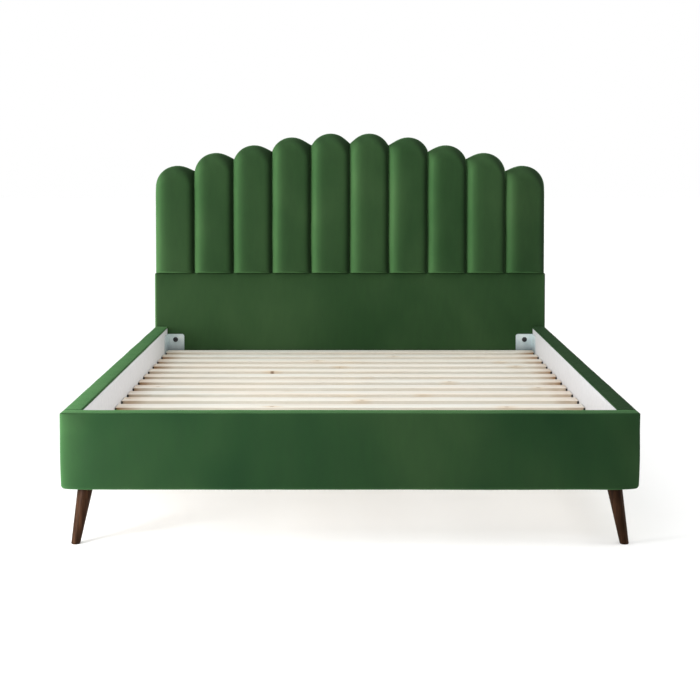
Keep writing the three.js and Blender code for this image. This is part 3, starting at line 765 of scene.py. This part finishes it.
def rail_section(thickness):
    """Cross-section of a padded rail as (inset from the outer face, height), from under it to inside it."""
    low, high = RAIL_BOTTOM - SAG, RAIL_TOP + TOP_LIFT
    inner_face = thickness - INNER_GAP
    turned_under = [(30 * MM, RAIL_BOTTOM + 1.5 * MM), (22 * MM, RAIL_BOTTOM - 1.5 * MM)]
    under = arc_points((UNDER_ROLL - PROUD, low + UNDER_ROLL), UNDER_ROLL, 270, 180)
    face = face_points(low + UNDER_ROLL, high - OUTER_ROLL)
    outer = arc_points((OUTER_ROLL - PROUD, high - OUTER_ROLL), OUTER_ROLL, 180, 90)
    top = top_points(OUTER_ROLL - PROUD, inner_face - INNER_ROLL, high)
    inner = arc_points((inner_face - INNER_ROLL, high - INNER_ROLL), INNER_ROLL, 90, 0)
    hem = [(inner_face, LINING_TOP + 1 * MM), (thickness - TUCKED, LINING_TOP - 0.5 * MM),
           (thickness - 2 * TUCKED, LINING_TOP - 4 * MM)]
    return turned_under + under + face + outer + top + inner + hem


def pulled_in(inset, lift, amount, thickness):
    """A section point moved towards the middle of the rail."""
    across = 1 - 2 * inset / thickness
    upward = (2 * lift - RAIL_TOP - RAIL_BOTTOM) / (RAIL_TOP - RAIL_BOTTOM)
    return inset + amount * across, lift - amount * upward


def seam_pull(from_seam):
    """How far a cover is drawn in, at a distance from the seam."""
    return SEAM_DEPTH * (1 - quarter(abs(from_seam) / SEAM_ROLL))


def side_station(side, y, inset, lift):
    """Across a side rail at y."""
    inset, lift = pulled_in(inset, lift, seam_pull(y - JOINT_Y), RAIL_THICKNESS)
    return Vector((side * (HALF_WIDTH - inset), y, lift))


def foot_face_station(t, inset, lift):
    """Along the foot rail's face, with t from 0 at its left corner to 1 at its right one."""
    reach = HALF_WIDTH - inset - CORNER_STRETCH * max(corner_depth(lift) - inset, 0.0)
    return Vector(((2 * t - 1) * reach, FOOT_Y + inset, lift))


def foot_corner_station(side, turn, inset, lift):
    """Round an upright corner of the foot rail; turn runs from 0 at its face to 90 at its end."""
    depth = max(corner_depth(lift) - inset, 0.0)
    reach = CORNER_STRETCH * depth
    angle = math.radians(turn)
    x = HALF_WIDTH - inset - reach * (1 - math.sin(angle))
    return Vector((side * x, FOOT_Y + inset + depth * (1 - math.cos(angle)), lift))


def foot_end_station(side, t, inset, lift):
    """Along an end of the foot rail, from its upright corner back to the seam."""
    start = min(FOOT_Y + max(inset, corner_depth(lift)), JOINT_Y)
    y = start + (JOINT_Y - start) * t
    inset, lift = pulled_in(inset, lift, seam_pull(y - JOINT_Y), FOOT_THICKNESS)
    return Vector((side * (HALF_WIDTH - inset), y, lift))


def sweep(name, stations, thickness, material, replaced):
    """A cover made of one cross-section per station, each a function of inset and height."""
    section = rail_section(thickness)
    vertices = [station(inset, lift) for station in stations for inset, lift in section]
    faces = grid_faces(len(stations), len(section))
    cover = piece_from_lists(name, vertices, faces, material, merge=2 * SAME_POINT)
    relax_velvet(cover)
    thicken(cover, COVER_THICKNESS)
    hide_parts(replaced)


def relax_velvet(cover):
    """Slow, shallow unevenness of foam under tight cloth."""
    for vertex in cover.data.vertices:
        point = vertex.co
        swell = SLOW_SWELL * ripple(point, 5.0, 1.0) + QUICK_SWELL * ripple(point, 17.0, 5.0)
        vertex.co = point + vertex.normal * swell
    cover.data.update()


def side_pad(side, suffix, material):
    """A side rail's cover, from its seam with the foot rail's to the headboard."""
    start, end = JOINT_Y + SEAM_ROLL, HEAD_Y - 0.5 * MM
    seam_steps, steps = 6, 140
    places = [JOINT_Y + SEAM_ROLL * (step / seam_steps) ** 2 for step in range(seam_steps)]
    places += [start + (end - start) * step / steps for step in range(steps + 1)]
    stations = [lambda inset, lift, y=y: side_station(side, y, inset, lift) for y in places]
    sweep(f"side_pad_cover_{suffix}", stations, RAIL_THICKNESS, material, f"side_pad_{suffix}")


def foot_half(side):
    """Stations round one end of the foot rail, from its face to the seam."""
    turns = 16
    stations = [lambda inset, lift, t=t: foot_corner_station(side, 90 * t / turns, inset, lift)
                for t in range(1, turns + 1)]
    closer_to_seam = (0.3, 0.55, 0.75, 0.88, 0.95, 0.985, 1.0)
    for t in closer_to_seam:
        stations.append(lambda inset, lift, t=t: foot_end_station(side, t, inset, lift))
    return stations


def foot_pad():
    """The foot rail's cover, from one seam round its face to the other."""
    steps = 120
    face = [lambda inset, lift, t=step / steps: foot_face_station(t, inset, lift)
            for step in range(steps + 1)]
    stations = list(reversed(foot_half(-1))) + face + foot_half(1)
    sweep("foot_pad_cover", stations, FOOT_THICKNESS, RAIL_VELVET_PAINTED_SHADE, "foot_pad")


# ---------------------------------------------------------------- linings
LINING_SLACK = 0.8 * MM
LINING_THICKNESS = 0.8 * MM
LINING_COLUMNS, LINING_ROWS = 140, 9


def lining_strip(name, node, normal_axis, towards):
    """A stapled lining cloth: nearly flat, and a little slack halfway up."""
    low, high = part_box(node)
    along = Y if normal_axis == X else X
    face = high[normal_axis] if towards > 0 else low[normal_axis]
    length, width = high[along] - low[along], LINING_TOP - low.z
    vertices = []
    for row in range(LINING_ROWS):
        z = low.z + width * row / (LINING_ROWS - 1)
        slack = math.sin(math.pi * row / (LINING_ROWS - 1))
        for column in range(LINING_COLUMNS):
            point = Vector((0, 0, z))
            point[along] = low[along] + length * column / (LINING_COLUMNS - 1)
            sway = 0.5 + noise.noise(Vector((point.x * 6, point.y * 6, z * 9)))
            point[normal_axis] = face - towards * LINING_SLACK * (1 - slack * sway)
            vertices.append(point)
    strip = piece_from_lists(name, vertices, grid_faces(LINING_ROWS, LINING_COLUMNS), LINING)
    thicken(strip, LINING_THICKNESS, offset=0.0)
    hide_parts(node)


# ---------------------------------------------------------------- timber
SLATS = 15
SLAT_FIT = 2.4 * MM  # a slat's ends all but touch the linings
TIMBER_STEPS = (2, 2, 2)


def eased_timber(name, node, material, ease, longer=0.0):
    """A planed length of timber; longer takes up some of the clearance past its ends along X."""
    low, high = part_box(node)
    along = Vector((longer, 0, 0))
    mesh = rounded_box_mesh(name, low - along, high + along, ease, TIMBER_STEPS)
    timber = finish_piece(name, mesh, material)
    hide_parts(node)


PEG_OUT, PEG_IN = 2.8 * MM, 2.5 * MM  # past the slat's end, and back along its edge
PEG_GAP, PEG_DEPTH = 0.2 * MM, 4.5 * MM  # a peg's near and far faces from the slat's edge
PEG_SET_DOWN = 1.5 * MM  # below the slat's top
PEG_BEVEL = 0.6 * MM


def peg_corners(low, high, behind):
    """The corners in X and Y of each peg round one slat, whose box is low and high."""
    edges = [(low.y - PEG_DEPTH, low.y - PEG_GAP)]
    if behind:
        edges.append((high.y + PEG_GAP, high.y + PEG_DEPTH))
    pegs = []
    for side, end_x in ((-1, low.x), (1, high.x)):
        near, far = end_x - side * PEG_IN, end_x + side * PEG_OUT
        pegs += [[(near, front), (far, front), (far, back), (near, back)] for front, back in edges]
    return pegs


def painted_shade_pegs():
    """Black pegs on the ledges beside each slat's ends, standing in for the dark shade in the gaps by the
    linings; the slat next to the head has none behind it.
    """
    vertices, faces = [], []
    for number in range(1, SLATS + 1):
        low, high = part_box(f"slat_{number:02d}")
        for corners in peg_corners(low, high, number > 1):
            first = len(vertices)
            for z in (low.z, high.z - PEG_SET_DOWN):
                vertices += [Vector((x, y, z)) for x, y in corners]
            faces += prism_faces(first, len(corners))
    pegs = piece_from_lists("painted_shade_pegs", vertices, faces, BLACK, smooth=False)
    bevel = pegs.modifiers.new("moulded edges", "BEVEL")
    bevel.width = PEG_BEVEL
    bevel.segments = 2


def prism_faces(first, count):
    """The closed prism between two rings of count vertices, the first of which starts at first."""
    faces = [tuple(range(first, first + count)), tuple(range(first + count, first + 2 * count))]
    for step in range(count):
        after = (step + 1) % count
        faces.append((first + step, first + after, first + count + after, first + count + step))
    return faces


def paint_node(node, material):
    """Gives a CAD node that already has its true shape a finished material."""
    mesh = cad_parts[node].data
    mesh.materials.clear()
    mesh.materials.append(material)


# ---------------------------------------------------------------- legs
LEG_RINGS = 18
LEG_SIDES = 40
LEG_FOOT_RADIUS, LEG_TOP_RADIUS = 12.75 * MM, 22.5 * MM
LEG_SPLAY = 26 * MM  # along X, and as much along Y
LEG_TOE = 2.2 * MM
CREASE = math.radians(40)  # edges sharper than this stay crisp


def leg_rings(height):
    """The height and the inset of each ring up a leg; the insets ease its toe."""
    taper = [(LEG_TOE + (height - LEG_TOE) * step / LEG_RINGS, 0.0) for step in range(1, LEG_RINGS + 1)]
    return [(0.0, LEG_TOE), (0.25 * LEG_TOE, 0.6 * LEG_TOE), (LEG_TOE, 0.0)] + taper


def leg(suffix, side, end):
    """A turned leg: straight taper, eased toe, level at the floor and under its plate."""
    low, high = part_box(f"leg_{suffix}")
    outer_x = high.x if side > 0 else low.x
    outer_y = high.y if end > 0 else low.y
    foot = Vector((outer_x - side * LEG_FOOT_RADIUS, outer_y - end * LEG_FOOT_RADIUS, 0))
    rings = leg_rings(high.z)
    vertices = []
    for z, inset in rings:
        t = z / high.z
        centre = foot - Vector((side, end, 0)) * LEG_SPLAY * t
        radius = LEG_FOOT_RADIUS + (LEG_TOP_RADIUS - LEG_FOOT_RADIUS) * t - inset
        for step in range(LEG_SIDES):
            angle = 2 * math.pi * step / LEG_SIDES
            vertices.append(centre + Vector((radius * math.cos(angle), radius * math.sin(angle), z)))
    last = (len(rings) - 1) * LEG_SIDES
    faces = tube_faces(len(rings), LEG_SIDES)
    faces.append(tuple(reversed(range(LEG_SIDES))))
    faces.append(tuple(range(last, last + LEG_SIDES)))
    turned = piece_from_lists(f"turned_leg_{suffix}", vertices, faces, WALNUT)
    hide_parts(f"leg_{suffix}")
    sharpen(turned)


def sharpen(obj):
    """Smooth shading that keeps true edges crisp."""
    bm = bmesh.new()
    bm.from_mesh(obj.data)
    for edge in bm.edges:
        edge.smooth = len(edge.link_faces) != 2 or edge.calc_face_angle(0) < CREASE
    bm.to_mesh(obj.data)
    bm.free()


# ---------------------------------------------------------------- the whole bed
CORNERS = (("foot_left", -1, -1), ("foot_right", 1, -1), ("head_left", -1, 1), ("head_right", 1, 1))


def headboard():
    for channel in range(CHANNELS):
        headboard_channel(channel)
    headboard_lower_panel()
    headboard_edge_band()
    headboard_back_panel()


def rail_covers():
    # Each rail gets its own lit or shaded copy of the velvet, as painted light and shade.
    side_pad(-1, "left", LEFT_VELVET_PAINTED_SHADE)
    side_pad(1, "right", RIGHT_VELVET_PAINTED_SHADE)
    foot_pad()
    lining_strip("lining_cloth_left", "side_lining_left", X, 1)
    lining_strip("lining_cloth_right", "side_lining_right", X, -1)
    lining_strip("lining_cloth_foot", "foot_lining", Y, 1)


def slats_and_rails():
    for number in range(1, SLATS + 1):
        eased_timber(f"pine_slat_{number:02d}", f"slat_{number:02d}", SLAT_PINE, 1.2 * MM, SLAT_FIT)
    # Black pegs standing in for the shade beside the slat ends.
    painted_shade_pegs()
    for suffix in ("left", "right"):
        paint_node(f"slat_ledge_{suffix}", RAIL_PINE)
        eased_timber(f"rail_timber_{suffix}", f"side_rail_{suffix}", RAIL_PINE, 2 * MM)
        paint_node(f"head_bracket_{suffix}", ZINC)
        paint_node(f"head_bolt_{suffix}", BLACK)
    eased_timber("rail_timber_foot", "foot_rail", SLAT_PINE, 2 * MM)


def underside():
    eased_timber("pine_beam", "centre_beam", RAIL_PINE, 2.5 * MM)
    paint_node("headboard_board", BOARD)
    paint_node("centre_leg", BLACK)
    paint_node("beam_hanger_foot", ZINC)
    paint_node("beam_hanger_head", ZINC)
    for suffix, side, end in CORNERS:
        leg(suffix, side, end)
        paint_node(f"leg_plate_{suffix}", BLACK)
        eased_timber(f"pine_block_{suffix}", f"corner_block_{suffix}", SLAT_PINE, 2 * MM)


# ---------------------------------------------------------------- studio
CAMERA_DISTANCE = 4.165  # from the foot face
CAMERA_HEIGHT = 1.114
CAMERA_PITCH = 2.258  # degrees down
LENS = 76.9
SHIFT_Y = -0.2
ROOM_LIGHT = 0.37
FLOOR_SIZE = 60


def white_floor():
    material = Surface("floor_white", (0.76, 0.76, 0.76), 0.9, Specular_IOR_Level=0.1,
                       Emission_Color=(1, 1, 1, 1), Emission_Strength=0.22).material
    bpy.ops.mesh.primitive_plane_add(size=FLOOR_SIZE, location=(0, 0, 0))
    floor = bpy.context.object
    floor.name = "floor"
    floor.data.materials.append(material)


def lights():
    sun("overhead", towards=(-0.10, -0.20, 1.0), strength=1.9, softness=80)
    sun("key", towards=(-0.96, -0.18, 0.22), strength=0.50, softness=22)
    sun("fill", towards=(0.92, 0.08, 0.38), strength=1.15, softness=45)
    area_light("foot_key", place=(-1.65, -1.95, 0.50), aim=(-0.4, -0.9, 0.3), size=0.5, power=36)
    area_light("head_key", place=(-2.4, -1.2, 1.5), aim=(-0.3, 1.0, 0.8), size=0.7, power=17)


def camera():
    lens = bpy.data.cameras.new("camera")
    lens.lens = LENS
    lens.shift_y = SHIFT_Y
    viewpoint = bpy.data.objects.new("camera", lens)
    bpy.context.collection.objects.link(viewpoint)
    viewpoint.location = (0, FOOT_Y - CAMERA_DISTANCE, CAMERA_HEIGHT)
    viewpoint.rotation_euler = (math.radians(90 - CAMERA_PITCH), 0, 0)
    bpy.context.scene.camera = viewpoint
    bpy.context.scene.view_settings.view_transform = "Standard"


def white_backdrop():
    """A dim room for the light, and plain white where the camera looks past the bed."""
    world = bpy.data.worlds.new("studio")
    bpy.context.scene.world = world
    world.use_nodes = True
    tree = world.node_tree
    room = tree.nodes["Background"]
    room.inputs["Color"].default_value = (1, 1, 1, 1)
    room.inputs["Strength"].default_value = ROOM_LIGHT
    backdrop = tree.nodes.new("ShaderNodeBackground")
    backdrop.inputs["Strength"].default_value = 1.0
    backdrop.inputs["Color"].default_value = (1, 1, 1, 1)
    seen = tree.nodes.new("ShaderNodeLightPath")
    either = tree.nodes.new("ShaderNodeMixShader")
    tree.links.new(seen.outputs["Is Camera Ray"], either.inputs["Fac"])
    tree.links.new(room.outputs["Background"], either.inputs[1])
    tree.links.new(backdrop.outputs["Background"], either.inputs[2])
    tree.links.new(either.outputs["Shader"], tree.nodes["World Output"].inputs["Surface"])


def aim_light(light, place, aim):
    light.location = place
    light.rotation_euler = (Vector(aim) - Vector(place)).to_track_quat("-Z", "Y").to_euler()


def sun(name, towards, strength, softness):
    """A distant light that shines from the side of towards; softness is its angular size in degrees."""
    data = bpy.data.lights.new(name, "SUN")
    data.energy = strength
    data.angle = math.radians(softness)
    light = bpy.data.objects.new(name, data)
    bpy.context.collection.objects.link(light)
    aim_light(light, towards, (0, 0, 0))


def area_light(name, place, aim, size, power):
    data = bpy.data.lights.new(name, "AREA")
    data.size = size
    data.energy = power
    light = bpy.data.objects.new(name, data)
    light.visible_camera = False
    bpy.context.collection.objects.link(light)
    aim_light(light, place, aim)


headboard()
rail_covers()
slats_and_rails()
underside()
white_floor()
white_backdrop()
lights()
camera()
